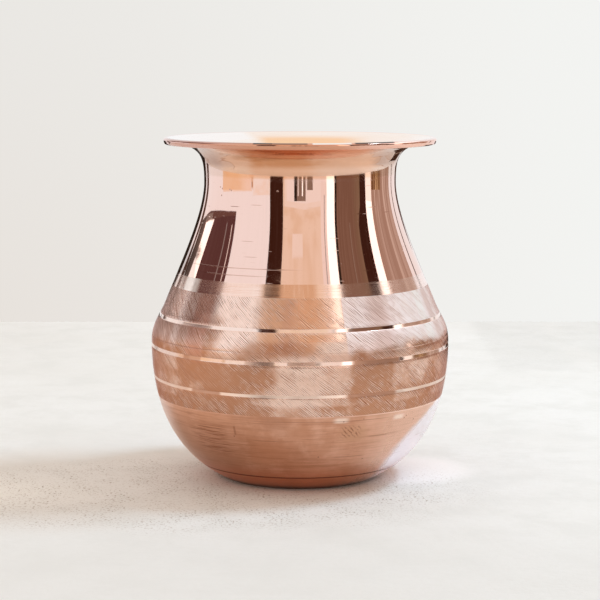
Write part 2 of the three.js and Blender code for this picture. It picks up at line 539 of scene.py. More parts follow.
# Marks on the polished neck, as turns in degrees and heights
NECK_PITS = [(-53.8, 98.7), (-51.9, 98.3), (-45, 98.2), (-43.8, 97.9), (-52.1, 96.1), (-57.2, 105)]
NECK_PITS += [(-12.8, 98.2)]
NECK_HAIRS = [(-39.6, 92.9), (-25.4, 93.6), (-28, 82.2), (-24.8, 77.4), (36.6, 90.7), (57.5, 90.5)]
NECK_HAIRS += [(44.9, 92.5)]
LONG_LINES = [(-30, 26, 73.8), (-34, 16, 71.6), (150, 40, 80)]  # turn, half width, height
LEFT_REFLECTION_LEAN = 0.0112  # radians to a mm, by which the edge of the painted reflection on the far left leans with the neck's reflections
LEFT_REFLECTION_HEIGHT = 71


def polished_copper():
    look = Look("copper_polished")
    mark, pit_depth = pits(look, 0.04, 0.25, 0.03)
    dents = sum(look.spot(turn, height, 0.32) for turn, height in NECK_PITS)
    hair_marks = sum(look.zone(turn, 3, height, 0.09) for turn, height in NECK_HAIRS)
    long_lines = sum(look.zone(turn, half, height, 0.12, 0.3) for turn, half, height in LONG_LINES)
    scratch = look.zone(-28.6, 0.55, 101.2, 2.2, 0.4)
    hair_lines = look.rings(5, 2.2, 2, 0.7).step(0.68, 0.75)
    height = lathe_marks(look, 1.6, 0.0006) + hair_lines * -0.004
    height = height + hair_marks * -0.008 + long_lines * -0.008 + (dents + scratch) * -0.03 + pit_depth
    # A greyish painted reflection on the far left of the neck, below about 76 to 81 mm
    leaning = (look.height - LEFT_REFLECTION_HEIGHT) * LEFT_REFLECTION_LEAN + look.turn
    painted_left_reflection = leaning.step(-1, -1.03) * look.turn.step(-1.5, -1.3) * look.height.step(81, 76)
    colour = look.coats(
        BRIGHT_COPPER,
        (look.noise(0.05, 3).step(0.4, 0.75, 0, 0.35), (0.93, 0.65, 0.53)),
        ((mark + dents) * 0.8, BROWN_COPPER),
        ((long_lines + scratch + hair_marks) * 0.45, BROWN_COPPER),
        (hair_lines * 0.15, DULL_COPPER),
        (painted_left_reflection * 0.7, (0.45, 0.36, 0.33)),
    )
    scuffs = look.noise(0.12, 4, 0.7).step(0.55, 0.8, 0.035, 0.08)
    return look.metal(colour, scuffs, height)


# The flare's painted reflection and shade tones, high up and low down, from the far left to the far right
FLARE_PAINTED_TONES = [
    ((0.5, 0.3, 0.24), (0.82, 0.61, 0.54)),
    ((0.77, 0.46, 0.32), (0.91, 0.61, 0.46)),
    ((0.66, 0.3, 0.15), (0.86, 0.5, 0.34)),
    ((0.78, 0.44, 0.29), (0.87, 0.56, 0.42)),
    ((0.54, 0.33, 0.24), (0.83, 0.62, 0.52)),
]
# Painted reflections and highlights along the top of the bead: turn, half width, strength and colour
BEAD_PAINTED_REFLECTIONS = [
    (-47, 28, 0.5, (0.4, 0.2, 0.14)),
    (-15, 4, 1, (0.05, 0.02, 0.01)),
    (-4, 7, 0.75, (0.1, 0.045, 0.02)),
    (13, 8, 0.9, (1, 0.95, 0.9)),
    (32, 9.5, 1, (0.06, 0.025, 0.015)),
    (62, 18, 0.4, (1, 0.9, 0.88)),
]


def flared_copper():
    """The underside of the flare and the bead; their tones round the pot and up the flare are painted
    reflections and painted shade.
    """
    look = Look("copper_flare")
    streaks = look.rings(2.5, 1.3, 3, 0.65)
    patches = look.rings(3, 0.22, 3, 0.55, 4, distortion=0.6)
    uneven_turn = look.turn + (streaks - 0.5) * 0.35
    low = look.height.step(106.8, 104.6)
    far_left, left, middle, right, far_right = [look.blend(low, *tones) for tones in FLARE_PAINTED_TONES]
    sides = abs(look.turn).step(0.6, 0.75)
    grey = patches.step(0.5, 0.52) * sides * look.height.step(104.5, 106)
    brink = patches.band(0.505, 0.03) * sides * look.height.step(104, 105.5)
    colour = look.coats(
        left,
        (look.turn.step(-0.75, -1), far_left),
        (uneven_turn.step(-0.56, -0.42), middle),
        (uneven_turn.step(0, 0.3), right),
        (uneven_turn.step(0.7, 1), far_right),
        (grey * 0.35, (0.6, 0.45, 0.4)),
        (brink * 0.6, BROWN_COPPER),
        (look.noise(0.12, 3, 0.6).step(0.45, 0.7, 0, 0.25), (0.9, 0.58, 0.42)),
        (look.height.step(FLARE_LOW + 1.6, FLARE_LOW + 0.6), BRIGHT_COPPER),
    )
    # The bead's painted reflection: darker to the left and paler to the right, with streaks
    bead_tone = look.coats(
        (0.76, 0.47, 0.41),
        (look.turn.step(-0.9, -0.3), (0.74, 0.37, 0.24)),
        (look.turn.step(0.2, 0.6), (0.92, 0.56, 0.45)),
        (streaks.step(0.45, 0.7, 0, 0.4), (0.62, 0.27, 0.16)),
    )
    edge = look.height.step(rim_top - 0.5, rim_top - 0.3)
    for turn, half, strength, tone in BEAD_PAINTED_REFLECTIONS:
        mark = edge * look.zone(turn, half, rim_top, 2, 0.06) * strength
        bead_tone = look.blend(mark, bead_tone, tone)
    bead = look.reach.step(curl_centre[0] - 0.7, curl_centre[0] - 0.2)
    height = lathe_marks(look, 1.8, 0.0012) + streaks * 0.001
    return look.metal(look.blend(bead, colour, bead_tone), streaks.step(0.3, 0.7, 0.05, 0.1), height)


def lip_inside_copper():
    """The inner face of the lip, the palest place; its tones are painted reflections, whiter on the left and
    orange low in the middle.
    """
    look = Look("copper_lip_inside")
    tone = look.rings(1.5, 0.8, 3, 0.6)
    deep = look.height.step(lip_height - 0.1, lip_height - 1.8)
    middle = look.sine.step(-0.43, -0.3) * look.sine.step(0.75, 0.35)
    colour = look.coats(
        (1, 0.87, 0.77),
        (tone.step(0.35, 0.7), (0.99, 0.82, 0.69)),
        (deep * middle * 0.95, (1, 0.65, 0.4)),
        (look.sine.step(-0.38, -0.5, 0, 0.8), (1, 0.96, 0.93)),
    )
    height = lathe_marks(look, 1.5, 0.0008)
    return look.metal(colour, tone.step(0.3, 0.7, 0.06, 0.11), height)


def satin_band():
    look = Look("copper_satin_band")
    tone = look.rings(2, 3, 3, 0.6)
    pale = look.zone(-57.5, 6, 67.2, 3, 0.35)
    colour = look.coats(
        (0.97, 0.73, 0.63),
        (tone.step(0.35, 0.7), (0.92, 0.62, 0.5)),
        # A darker painted reflection tone in front
        (look.zone(-5, 12, 67, 9, 0.15) * 0.85, (0.76, 0.44, 0.29)),
        (look.rings(40, 0.1, 1).step(0.5, 0.75, 0, 0.2), (1, 0.8, 0.7)),
        # A painted highlight on the right side
        (look.turn.step(0.6, 0.9, 0, 0.6), (1, 0.84, 0.8)),
        (pale, (0.93, 0.86, 0.84)),
    )
    height = lathe_marks(look, 5, 0.006, 3)
    return look.metal(colour, tone.step(0.3, 0.7, 0.12, 0.2), height, 0.5, metallic=pale * -0.6 + 1)


# Brown stains on the hatched band: turn, half width, height, half height and strength
STAINS = [
    (-56, 22, 50, 5, 0.75),
    (-60, 26, 39, 9, 0.3),
    (-38, 6, 54, 5, 0.4),
    (-36, 15, 37, 9, 0.85),
    (-17, 8, 44, 6.5, 0.65),
    (-64, 14, 37, 9, 0.4),
    (15, 6, 40, 9, 0.25),
    (28, 8, 39, 11, 1),
    (46, 14, 40, 8, 0.55),
    (68, 12, 42, 9, 0.6),
    (45, 30, 33, 5, 0.3),
    (0, 90, 28.8, 2.6, 0.8),
    (-22, 10, 35.5, 6, 0.45),
    (0, 35, 35, 9, 0.22),
    (-36, 16, 31, 3, 0.6),
    (170, 30, 45, 8, 0.7),
    (110, 25, 38, 7, 0.5),
]


def film(look):
    """How much brown film lies on the copper: in stains with ragged edges, and a little everywhere."""
    clouds = look.noise(0.09, 4, 0.65)
    streaks = look.rings(2, 0.25, 3, 0.6)
    stained = sum(look.zone(*place, 0.35) * strength for *place, strength in STAINS)
    ragged = stained * clouds.step(0.3, 0.6, 0.5, 1.1)
    return (ragged + (clouds - 0.5) * 0.4 + 0.05 + (streaks - 0.5) * 0.4).clamped()


# Where the film hides a bright line, and in front a painted brown reflection covers the middle one: turn,
# half width, height and how much
LINE_GAPS = [
    (29.5, 10, 45.3, 1),
    (-44, 4.5, 45.3, 0.8),
    (-15, 5.5, 45.3, 0.45),
    (28, 10.5, 34.7, 1),
    (-38, 7, 34.7, 0.9),
    (-66, 20, 34.7, 0.4),
    (-45, 8, 55.3, 0.35),
    (-62, 16, 45.3, 0.4),
    # a painted brown reflection in front, over the middle line
    (0.5, 5, 45.3, 0.6),
]


def bright_line():
    look = Look("copper_bright_line")
    tone = look.noise(0.2, 2)
    low = look.height.step(44, 36)
    gaps = sum(look.zone(*place, 2, 0.12) * strength for *place, strength in LINE_GAPS)
    hidden = ((look.rings(12, 0.5, 2) - 0.5) * 0.25 + gaps).clamped()
    colour = look.coats(
        (0.97, 0.77, 0.68),
        (tone.step(0.4, 0.7, 0, 0.4), (0.93, 0.67, 0.56)),
        (low, (1, 0.8, 0.69)),
        (hidden * 0.85, (0.58, 0.29, 0.175)),
    )
    height = lathe_marks(look, 4, 0.0008)
    return look.metal(colour, tone.step(0.3, 0.7, 0.08, 0.14) + low * 0.2 + hidden * 0.28, height)


HATCH_ANGLE = 38  # degrees below the horizontal, running down to the right
HATCH_RADIUS = 48
HATCH_LINES = 385  # strokes in one turn of the pot; a whole number, so that they meet behind
# Where the strokes are firm whatever the wear: a zone and how firm
FIRM_ZONES = [(27, 9.5, 58, 8, 0.3, 0.9), (-60, 22, 58, 8.5, 0.25, 0.8)]


def hatched_copper():
    """Fine slanted strokes over polished copper; towards the window side a pale painted highlight stands in
    for the light they scatter.
    """
    look = Look("copper_hatched")
    drift = 1 / (tan(radians(HATCH_ANGLE)) * HATCH_RADIUS)
    slanted = look.turn + look.height * drift + (look.noise(0.05, 1) - 0.5) * 0.04
    wave = look.math("SINE", slanted * HATCH_LINES + look.rings(20, 0.2, 1, turn=slanted) * 12)
    breaks = look.rings(90, 0.42, 1, turn=slanted).step(0.44, 0.54, 0.35, 1)
    other_breaks = look.rings(90, 0.42, 1, shift=50, turn=slanted).step(0.44, 0.54, 0.35, 1)
    worn_smooth = look.zone(-50, 24, 40, 6.5, 0.35)
    firm = look.noise(0.2, 3, 0.65).step(0.4, 0.58, 0.2, 1) * (worn_smooth * -0.65 + 1)
    for *place, strength in FIRM_ZONES:
        firm = look.math("MAXIMUM", firm, look.zone(*place) * strength)
    groove = wave.step(0, 0.7) * breaks * firm
    ridge = wave.step(0, -0.7) * other_breaks * firm
    scrapes = look.rings(48, 0.14, 2, 0.6, 20, slanted).step(0.55, 0.62)
    scrapes = scrapes * abs(look.turn).step(0.5, 0.85, 0.15, 0.6)
    filmed = film(look)

    # In front, where the strokes are worn: a painted reflection of the room, darker left of the middle
    front = look.zone(1.5, 15.5, 57, 8.8, 0.15) * look.turn.step(0.05, 0.3, 0.8, 0.35)
    painted_front_reflection = look.blend(look.turn.step(-0.08, 0.04), (0.67, 0.32, 0.175), (0.72, 0.38, 0.225))
    beside = look.zone(-11.6, 4.6, 57, 9.5, 0.3)
    # The left side
    mauve = look.zone(-62, 24, 58, 8.5, 0.25) * 0.42
    # The right side, where a pale painted highlight stands in for the window's light that the strokes scatter
    uneven = (look.noise(0.15, 3) - 0.5) * 6
    lower = look.zone(20, 8, 50, 30, 0.4) * 1.8
    level = (look.height + uneven + lower).step(48.6, 51.6)
    lit = look.turn.step(0.3, 0.318) * look.turn.step(1.6, 1.15) * level * filmed.step(0.85, 0.35)
    far = look.turn.step(0.65, 0.9)
    painted_highlight_tone = look.blend(far, (1, 0.87, 0.86), (1, 0.94, 0.95))
    highlight_fade = lit * far * -0.6 + 1

    colour = look.coats(
        (0.98, 0.73, 0.62),
        (filmed, (0.56, 0.27, 0.155)),
        (front, painted_front_reflection),
        (beside * 0.6, (0.82, 0.47, 0.29)),
        (look.zone(-7, 11, 49.5, 2.2, 0.5) * 0.6, (0.56, 0.25, 0.13)),
        (mauve, (0.7, 0.54, 0.51)),
        # A painted pale reflection streak on the left
        (look.zone(-56.5, 2.4, 58.5, 8, 0.5) * 0.6, (1, 0.86, 0.82)),
        (look.zone(-43.5, 4.8, 56, 10, 0.35) * 0.85, (0.68, 0.35, 0.26)),
        # A painted highlight in front, low down
        (look.zone(12.5, 5.5, 50.2, 1.7, 0.6) * 0.6, (1, 0.84, 0.75)),
        (lit * 0.92, painted_highlight_tone),
        # Within the painted highlight: a painted darker dip, a painted white streak and a painted shaded band
        (look.zone(33.5, 4.5, 62, 16, 0.7) * lit * 0.6, (0.66, 0.42, 0.36)),
        (look.zone(60.5, 3, 58, 9, 0.3) * lit, (1, 0.98, 0.97)),
        (look.zone(69, 3, 58, 9, 0.4) * lit * 0.5, (0.62, 0.4, 0.33)),
        (scrapes * highlight_fade, (0.46, 0.22, 0.14)),
        # The strokes' grooves painted dark as painted shade, their ridges painted light as a painted
        # highlight
        (groove * (lit * 0.15 + 0.8) * highlight_fade, (0.34, 0.13, 0.07)),
        (ridge * 0.62, (1, 0.86, 0.79)),
    )
    rough = filmed * 0.22 + 0.14 + lit * 0.3 + look.zone(-10, 8.5, 57, 9.5, 0.4) * 0.34
    rough = rough + mauve * 0.2 + look.zone(12, 26, 48.5, 3.5, 0.4) * 0.25
    metallic = lit * (far * -0.12 - 0.5) + mauve * -0.4 + beside * -0.1 + 1
    height = waviness(look) + groove * -0.006 + ridge * 0.004
    return look.metal(colour, rough, height, 0.5, HATCH_ANGLE, metallic, (0.62, 0.45, 0.42))


BOWL_NICKS = [(17, 26.2), (45.5, 25.2), (-27.5, 20.6), (52, 24), (8, 14)]
# Long scratches on the bowl: turn, half width, height, half height
BOWL_HAIRS = [
    (10, 26, 26.3, 0.13),
    (33.5, 4.5, 20.4, 0.14),
    (-26.8, 0.45, 22.6, 1.5),
    (-14, 5, 19.6, 0.12),
    (22, 7, 13.6, 0.14),
]
SCUFF_LEAN = 46  # mm to a radian: how steeply the scuffed patch's dashes run
SCUFF_FINENESS = 4.2  # radians of their wave to a mm
CRESCENT_HEIGHT = 10  # where the painted bright crescent on the right side reaches farthest in
CRESCENT_BEND = -0.00124  # radians to a square mm, by which it draws back above and below that


def turned_bowl():
    look = Look("copper_turned_bowl")
    mark, pit_depth = pits(look, 0.1, 0.3, 0.02)
    tone = look.noise(0.04, 4, 0.6)
    mottle = look.noise(0.14, 4, 0.65)
    scratches = look.rings(3.5, 2.4, 3, 0.7, 9).step(0.58, 0.72)
    group = look.rings(4, 3.2, 2, 0.7, 31).step(0.5, 0.6) * look.zone(-40, 9, 18.5, 5, 0.4)
    slanted = look.turn * SCUFF_LEAN + look.height + look.noise(0.8, 1) * 1.2
    dashes = look.math("SINE", slanted * SCUFF_FINENESS).step(0, 0.7)
    patchy = look.noise(0.55, 2, 0.6).step(0.34, 0.48)
    rubbed = dashes * patchy * look.zone(20.5, 3.6, 22.6, 1.8, 0.4)
    hairs = sum(look.zone(*hair, 0.3) for hair in BOWL_HAIRS)
    nicks = sum(look.spot(turn, height, 0.35) for turn, height in BOWL_NICKS)
    right = look.turn.step(0.35, 0.8)
    above = look.height - CRESCENT_HEIGHT
    leaning = look.turn + (mottle - 0.5) * 0.12 + above * above * CRESCENT_BEND
    painted_bright_side = leaning.step(0.74, 0.88) * look.turn.step(1.8, 1.35)
    glint = look.zone(16, 2.6, 26.6, 0.8, 0.6) + look.zone(42, 2.4, 26, 0.7, 0.6)
    # A painted highlight along the hatched band's lower edge
    painted_brim_highlight = look.height.band(HATCH_LOW - 0.25, 0.5)
    painted_brim_highlight = painted_brim_highlight * tone.step(0.4, 0.6, 0.3, 0.8) * look.turn.step(-0.2, 0.2, 0.25, 1)
    # Painted shade near the foot, less on the right
    painted_foot_shade = look.height.step(11, 3, 0, 0.7) * look.turn.step(0.2, 0.75, 1, 0.5)
    foot_line = look.height.band(FOOT_LINE_HEIGHT, FOOT_LINE_WIDTH * 2)
    colour = look.coats(
        (0.6, 0.295, 0.18),
        (tone.step(0.35, 0.7), (0.76, 0.42, 0.285)),
        (mottle.step(0.42, 0.7, 0, 0.5), (0.84, 0.5, 0.37)),
        (look.rings(1.5, 1.2, 3, 0.6).step(0.45, 0.72, 0, 0.5), (0.46, 0.19, 0.1)),
        (look.rings(5, 5, 2, 0.6).step(0.5, 0.7, 0, 0.4), (0.42, 0.18, 0.1)),
        # Painted shade low on the left
        (look.zone(-52, 26, 10, 13, 0.5) * 0.5, (0.36, 0.17, 0.1)),
        # A painted highlight on the right side, which is also glossier
        (right * 0.48, (0.95, 0.64, 0.51)),
        # A pale painted reflection of the lit floor, as a crescent on the right
        (painted_bright_side, (0.95, 0.89, 0.95)),
        # A painted highlight along the left edge
        (look.turn.step(-1, -1.35, 0, 0.6), (0.86, 0.66, 0.6)),
        (glint * 0.8, (1, 0.8, 0.68)),
        (painted_brim_highlight, (1, 0.74, 0.62)),
        (scratches * 0.3, BROWN_COPPER),
        (look.zone(22, 5, 21.8, 2.6, 0.6) * 0.7, (0.62, 0.34, 0.21)),
        ((group + rubbed) * 0.7, SCRATCH_BROWN),
        (hairs * 0.45, SCRATCH_BROWN),
        (look.zone(-9.5, 5, 26.3, 2.6, 0.6) * 0.55, (0.46, 0.21, 0.12)),
        ((mark + nicks) * 0.7, (0.22, 0.07, 0.035)),
        (painted_foot_shade, (0.64, 0.205, 0.085)),
        (foot_line * 0.9, (0.13, 0.035, 0.015)),
        # Painted shade at the bottom edge, where it meets the table
        (look.height.step(2.2, 0.3, 0, 0.75), (0.1, 0.03, 0.012)),
    )
    height = lathe_marks(look, 3, 0.005, amount=0.01)
    height = height + (scratches + group + hairs) * -0.006 + rubbed * -0.01 + pit_depth
    rough = tone.step(0.3, 0.7, 0.3, 0.4) + right * -0.14
    return look.metal(colour, rough, height, 0.35, metallic=painted_bright_side * -0.45 + 1)


def inner_copper():
    look = Look("copper_inside")
    colour = look.coats(
        (0.95, 0.7, 0.58),
        (look.height.step(105, 60), (0.66, 0.36, 0.24)),
        (look.noise(0.05, 4, 0.6).step(0.4, 0.75, 0, 0.4), (0.62, 0.3, 0.18)),
    )
    height = lathe_marks(look, 2.5, 0.004, amount=0.01)
    return look.metal(colour, look.height.step(108, 80, 0.14, 0.36), height, 0.3)


def underside_copper():
    look = Look("copper_underside")
    mark, pit_depth = pits(look, 0.2, 0.35, 0.02)
    rings = look.noise(1, 3, place=look.node("CombineXYZ", {0: look.reach * 1.4}))
    rub = look.noise(0.5, 4, 0.7)
    colour = look.coats(
        (0.36, 0.15, 0.085),
        (rings.step(0.4, 0.7), (0.5, 0.24, 0.15)),
        (look.height.step(0.5, 0.1) * rub.step(0.35, 0.6), (0.74, 0.42, 0.3)),
        (mark * 0.6, (0.12, 0.04, 0.02)),
    )
    return look.metal(colour, rub.step(0.3, 0.7, 0.34, 0.5), rings * 0.02 + rub * 0.008 + pit_depth)


def drawn_wire():
    look = Look("copper_wire")
    around = look.rings(3, 9, 2)
    colour = look.blend(around, (0.5, 0.22, 0.12), (0.62, 0.32, 0.2))
    return look.metal(colour, around.step(0.3, 0.7, 0.35, 0.5), around * 0.01)


def brazing_metal():
    look = Look("brass_braze")
    lumps = look.noise(0.9, 3, 0.6)
    colour = look.blend(look.noise(0.25, 3, 0.6).step(0.35, 0.7), (0.6, 0.38, 0.12), (0.3, 0.15, 0.06))
    return look.metal(colour, lumps.step(0.3, 0.7, 0.35, 0.6), lumps * 0.05)


looks = {
    "polished": polished_copper(),
    "flare": flared_copper(),
    "lip_inside": lip_inside_copper(),
    "satin_band": satin_band(),
    "bright_line": bright_line(),
    "hatched": hatched_copper(),
    "bowl": turned_bowl(),
    "inside": inner_copper(),
    "underside": underside_copper(),
}


# Pieces

SEAM_MARGIN = 0.4  # from the seam down to where the bowl's inner wall follows the skin
FLOOR_MARGIN = 1.5  # from the ground up to there
JOGGLE_MARGIN = 1  # from the joggle over the tongue up to where the upper shell's wall does
BRAZE_OFF_TONGUE = 0.02
BRAZE_OFF_WALL = 0.01
BRAZE_SAG = 0.12
BRAZE_STEPS = 7
BRAZE_RIPPLES = [(0.03, 7, 1), (0.02, 23, 0)]  # depth, waves round the pot, and shift from row to row


def finishes_between(low, high):
    """The outer skin from low to high, split where its finish changes."""
    tops = [(HATCH_LOW, "bowl"), (HATCH_HIGH, "hatched"), (SATIN_HIGH, "satin_band"), (FLARE_LOW, "polished")]
    tops.append((lip_height, "flare"))
    for middle, width, _ in bright_lines:
        tops += [(middle - width / 2, "hatched"), (middle + width / 2, "bright_line")]
    stretches = []
    for top, finish in sorted(tops):
        end = min(top, high)
        if low < end:
            stretches.append((finish, outside(low, end)))
            low = end
    return stretches


mouth_radius = skin_at([seam_height], SHEET)[0][0]
tongue_foot = seam_height - LAP
wall_at_tongue_foot = skin_at([tongue_foot], SHEET)[0][0]
tongue_outer = min(mouth_radius, wall_at_tongue_foot) - BRAZE_GAP
tongue_inner = tongue_outer - SHEET


def make_bowl():
    ring_inner = FOOT_RADIUS - STANDING_RING
    dish_edge = ring_inner - DISH_RAMP
    floor_corner = FOOT_RADIUS - SHEET * tan(radians(FOOT_SLOPE) / 2)
    rings = np.linspace(0, dish_edge, DISH_STEPS)
    underside = [(r, DISH_DEPTH) for r in rings] + [(ring_inner, 0), (FOOT_RADIUS, 0)]
    floor = [(floor_corner, SHEET), (ring_inner, SHEET)] + [(r, DISH_DEPTH + SHEET) for r in rings[::-1]]
    outline = [
        ("underside", underside),
        *finishes_between(0, seam_height),
        ("inside", [(mouth_radius, seam_height)]),
        ("inside", inside(seam_height - SEAM_MARGIN, FLOOR_MARGIN)),
        ("inside", floor),
    ]
    bowl = turned("bowl_shell", outline, looks)
    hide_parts("bowl")
    return bowl


def make_neck():
    heights = np.linspace(seam_height, neck_height, 2000)
    joggle = heights[np.argmax(skin_at(heights, SHEET)[:, 0] < tongue_inner)]
    outline = [
        *finishes_between(seam_height, lip_height),
        ("inside", arc(curl_centre, curl_inner, curl_start, curl_turn, CURL_STEPS)),
        ("flare", rim),
        ("lip_inside", inside(lip_height, LIP_INSIDE_LOW)),
        ("inside", inside(LIP_INSIDE_LOW, joggle + JOGGLE_MARGIN)),
        ("inside", [(tongue_inner, skin_at([joggle], SHEET)[0][1])]),
        ("inside", [(tongue_inner, tongue_foot), (tongue_outer, tongue_foot)]),
        ("inside", [(tongue_outer, seam_height), skin_at([seam_height])[0]]),
    ]
    shell = turned("neck_shell", outline, looks)
    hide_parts("shoulder_and_neck")
    section = arc(curl_centre, WIRE_DIAMETER / 2, 0, 360, WIRE_STEPS)
    wire = turned("lip_wire_round", [("wire", section)], {"wire": drawn_wire()})
    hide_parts("lip_wire")
    return [shell, wire]


def make_braze():
    """The fillet, whose face sags between the tongue and the bowl and wanders a little."""

    def wall(height):
        return skin_at([height], SHEET)[0][0] - BRAZE_OFF_WALL

    def wander(row, angle):
        return sum(depth * sin(waves * angle + shift * row) for depth, waves, shift in BRAZE_RIPPLES)

    top = tongue_foot - BRAZE_OFF_TONGUE
    bottom = tongue_foot - FILLET_CLEARANCE - FILLET_LEG
    start = np.array([tongue_inner, top])
    end = np.array([wall(bottom), bottom])
    middle = (start + end) / 2 + np.array([BRAZE_SAG, BRAZE_SAG])
    shares = np.linspace(0, 1, BRAZE_STEPS)
    face = [(1 - t) ** 2 * start + 2 * t * (1 - t) * middle + t**2 * end for t in shares]
    section = [(wall(top), top)] + face + [(wall(bottom), bottom), (wall(top), top)]
    braze = turned("braze_fillet", [("braze", section)], {"braze": brazing_metal()}, wander)
    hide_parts("seam_braze")
    return braze


pieces = [make_bowl(), *make_neck(), make_braze()]
for piece in pieces:
    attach(piece, "root")


# The table

TABLE_WIDTH = 1200
TABLE_BACK = 376
TABLE_FRONT = -560
TABLE_THICKNESS = 30
TABLE_BEVEL = 4
TABLE_BEVEL_STEPS = 4
COARSE_MIDDLE = (-35, -30, 0)
COARSE_STRETCH = (1 / 100, 1 / 58, 0)
# Painted light: a pale patch beside the foot on the right, against the pot's contact shade
LIGHT_PATCH_MIDDLE = (36, 4, 0)
LIGHT_PATCH_REACH = (27, 15)
# Painted light: a paler patch far out in the pot's shadow on the left
SHADOW_LIFT_MIDDLE = (-112, -30, 0)
SHADOW_LIFT_STRETCH = (1, 1.6, 0)
SHADOW_LIFT_REACH = 62
SPECK_STRETCH = (1, 0.8, 1)


def table_top():
    """Pale plaster; round the pot's place the surface is coarser and holds brown grains. Painted light
    brightens the floor beside the foot on the right and lifts the far part of the pot's shadow on the left.
    """
    look = Look("table_plaster")

    def away(middle, stretch):
        off = look.vector("SUBTRACT", look.place, middle)
        return look.vector("LENGTH", look.vector("MULTIPLY", off, stretch)).output("Value")

    cloud = look.noise(0.012, 4, 0.6)
    mottle = look.noise(0.045, 5, 0.65)
    grain = look.noise(0.35, 4, 0.65)
    specks = look.noise(1.15, 2, 0.65, place=look.vector("MULTIPLY", look.place, SPECK_STRETCH))
    coarse = (away(COARSE_MIDDLE, COARSE_STRETCH) + (mottle - 0.5) * 0.8).step(1.1, 0.7)
    coarse = coarse * look.noise(0.09, 3, 0.6).step(0.38, 0.62, 0.25, 1)
    dots = specks.step(0.56, 0.65) * (coarse * 0.85 + 0.02)
    painted_light_patch = look.vector("DISTANCE", look.place, LIGHT_PATCH_MIDDLE).output("Value").step(*LIGHT_PATCH_REACH)
    colour = look.coats(
        (0.9, 0.89, 0.87),
        (cloud.step(0.35, 0.7), (0.86, 0.845, 0.815)),
        (mottle.step(0.42, 0.66, 0, 0.7), (0.82, 0.81, 0.78)),
        (grain.step(0.4, 0.75, 0, 0.3), (0.82, 0.8, 0.765)),
        (look.y.step(-50, -130, 0, 0.6), (0.785, 0.77, 0.745)),
        (painted_light_patch, (1, 0.97, 0.96)),
        (away(SHADOW_LIFT_MIDDLE, SHADOW_LIFT_STRETCH).step(SHADOW_LIFT_REACH, 0), (1, 0.99, 0.95)),
        (dots, (0.42, 0.33, 0.27)),
        (specks.step(0.43, 0.34) * coarse * 0.5, (0.96, 0.95, 0.93)),
    )
    height = grain * 0.2 + dots * -0.15 + cloud * 0.6
    inputs = {"Base Color": colour, "Roughness": 0.8, "Normal": look.bump(height)}
    return look.finish(look.node("BsdfPrincipled", inputs))


def new_object(name, vertices, faces, material):
    """An object from points in mm."""
    mesh = bpy.data.meshes.new(name)
    mesh.from_pydata([(x * MM, y * MM, z * MM) for x, y, z in vertices], [], faces)
    mesh.materials.append(material)
    mesh.update()
    item = bpy.data.objects.new(name, mesh)
    bpy.context.scene.collection.objects.link(item)
    return item


def make_table():
    half = TABLE_WIDTH / 2
    corners = [(-half, TABLE_FRONT), (half, TABLE_FRONT), (half, TABLE_BACK), (-half, TABLE_BACK)]
    vertices = [(x, y, z) for z in (0, -TABLE_THICKNESS) for x, y in corners]
    faces = [(0, 1, 2, 3), (7, 6, 5, 4)] + [(k, k + 4, (k + 1) % 4 + 4, (k + 1) % 4) for k in range(4)]
    table = new_object("table", vertices, faces, table_top())
    bevel = table.modifiers.new("edge", "BEVEL")
    bevel.width = TABLE_BEVEL * MM
    bevel.segments = TABLE_BEVEL_STEPS


make_table()


# Reflectors that only the copper sees: boards in a ring round the pot, and two cards over the table.
# Azimuths are in degrees from the camera's side, growing to the right; heights are of a board's edges.

RING_RADIUS = 520
BOARD_STEP = 2
HIGH = 620
UNDER_WINDOW = 350
CARD_HEIGHT = 1.5

# Finishes: name, colour, streaks, their strength, mottling, a fade (colour, from, to), streaks to a radian
BOARD_LOOKS = [
    ("cream", (0.95, 0.96, 0.98), (0.86, 0.85, 0.85), 0.4),
    ("peach", (0.88, 0.73, 0.6), None, 0.7, (0.8, 0.6, 0.43)),
    ("apricot", (0.9, 0.66, 0.45), None, 0.6, (0.88, 0.58, 0.36), ((0.95, 0.78, 0.66), -80, -58)),
    ("apricot_pale", (0.92, 0.76, 0.62), None, 0.8, (0.94, 0.86, 0.8)),
    ("faint", (0.94, 0.9, 0.86), None, 0.9, (0.93, 0.8, 0.7)),
    ("rust", (0.74, 0.5, 0.34)),
    ("blush", (0.93, 0.86, 0.82)),
    ("blush_peach", (0.91, 0.8, 0.71), None, 0.7, (0.92, 0.84, 0.79)),
    ("pale", (0.93, 0.83, 0.78), (0.8, 0.66, 0.66), 0.6),
    ("black", (0.045, 0.014, 0.008), (0.09, 0.05, 0.04), 0.3),
    ("plum", (0.105, 0.045, 0.042), (0.16, 0.09, 0.085), 0.5),
    ("plum_top", (0.15, 0.075, 0.062), (0.1, 0.05, 0.045), 0.5),
    ("taupe", (0.07, 0.045, 0.035), (0.36, 0.29, 0.26), 0.9, None, ((0.26, 0.2, 0.18), -136, -122)),
    ("brown", (0.2, 0.11, 0.075), (0.3, 0.19, 0.14), 0.6, None, ((0.22, 0.145, 0.09), 60, 72)),
    ("umber", (0.11, 0.06, 0.045)),
    ("umber_pale", (0.33, 0.2, 0.165), (0.46, 0.34, 0.3), 0.6),
    ("drab", (0.28, 0.2, 0.155), (0.12, 0.07, 0.05), 0.6),
    ("gold", (0.16, 0.07, 0.03), (0.95, 0.68, 0.38), 1, None, None, 34),
    ("umber_dark", (0.07, 0.035, 0.022)),
    ("white", (1.7, 1.65, 1.6)),
    ("bright", (1.25, 1.2, 1.15), (1, 0.92, 0.8), 0.5),
    ("clay", (0.4, 0.27, 0.21), (0.75, 0.62, 0.54), 0.9, None, None, 14),
    ("tan", (0.55, 0.42, 0.33)),
    ("grey", (0.3, 0.26, 0.25)),
    ("ink", (0.03, 0.018, 0.012)),
    ("sky", (1.5, 1.7, 1.85)),
]

PATCH_LOW = (142, 160, 185, 210, 232)
PATCH_TOP_HIGH = (176, 200, 226, 248)
STREAK_HIGH = (178, 190, 203, 216, 198)

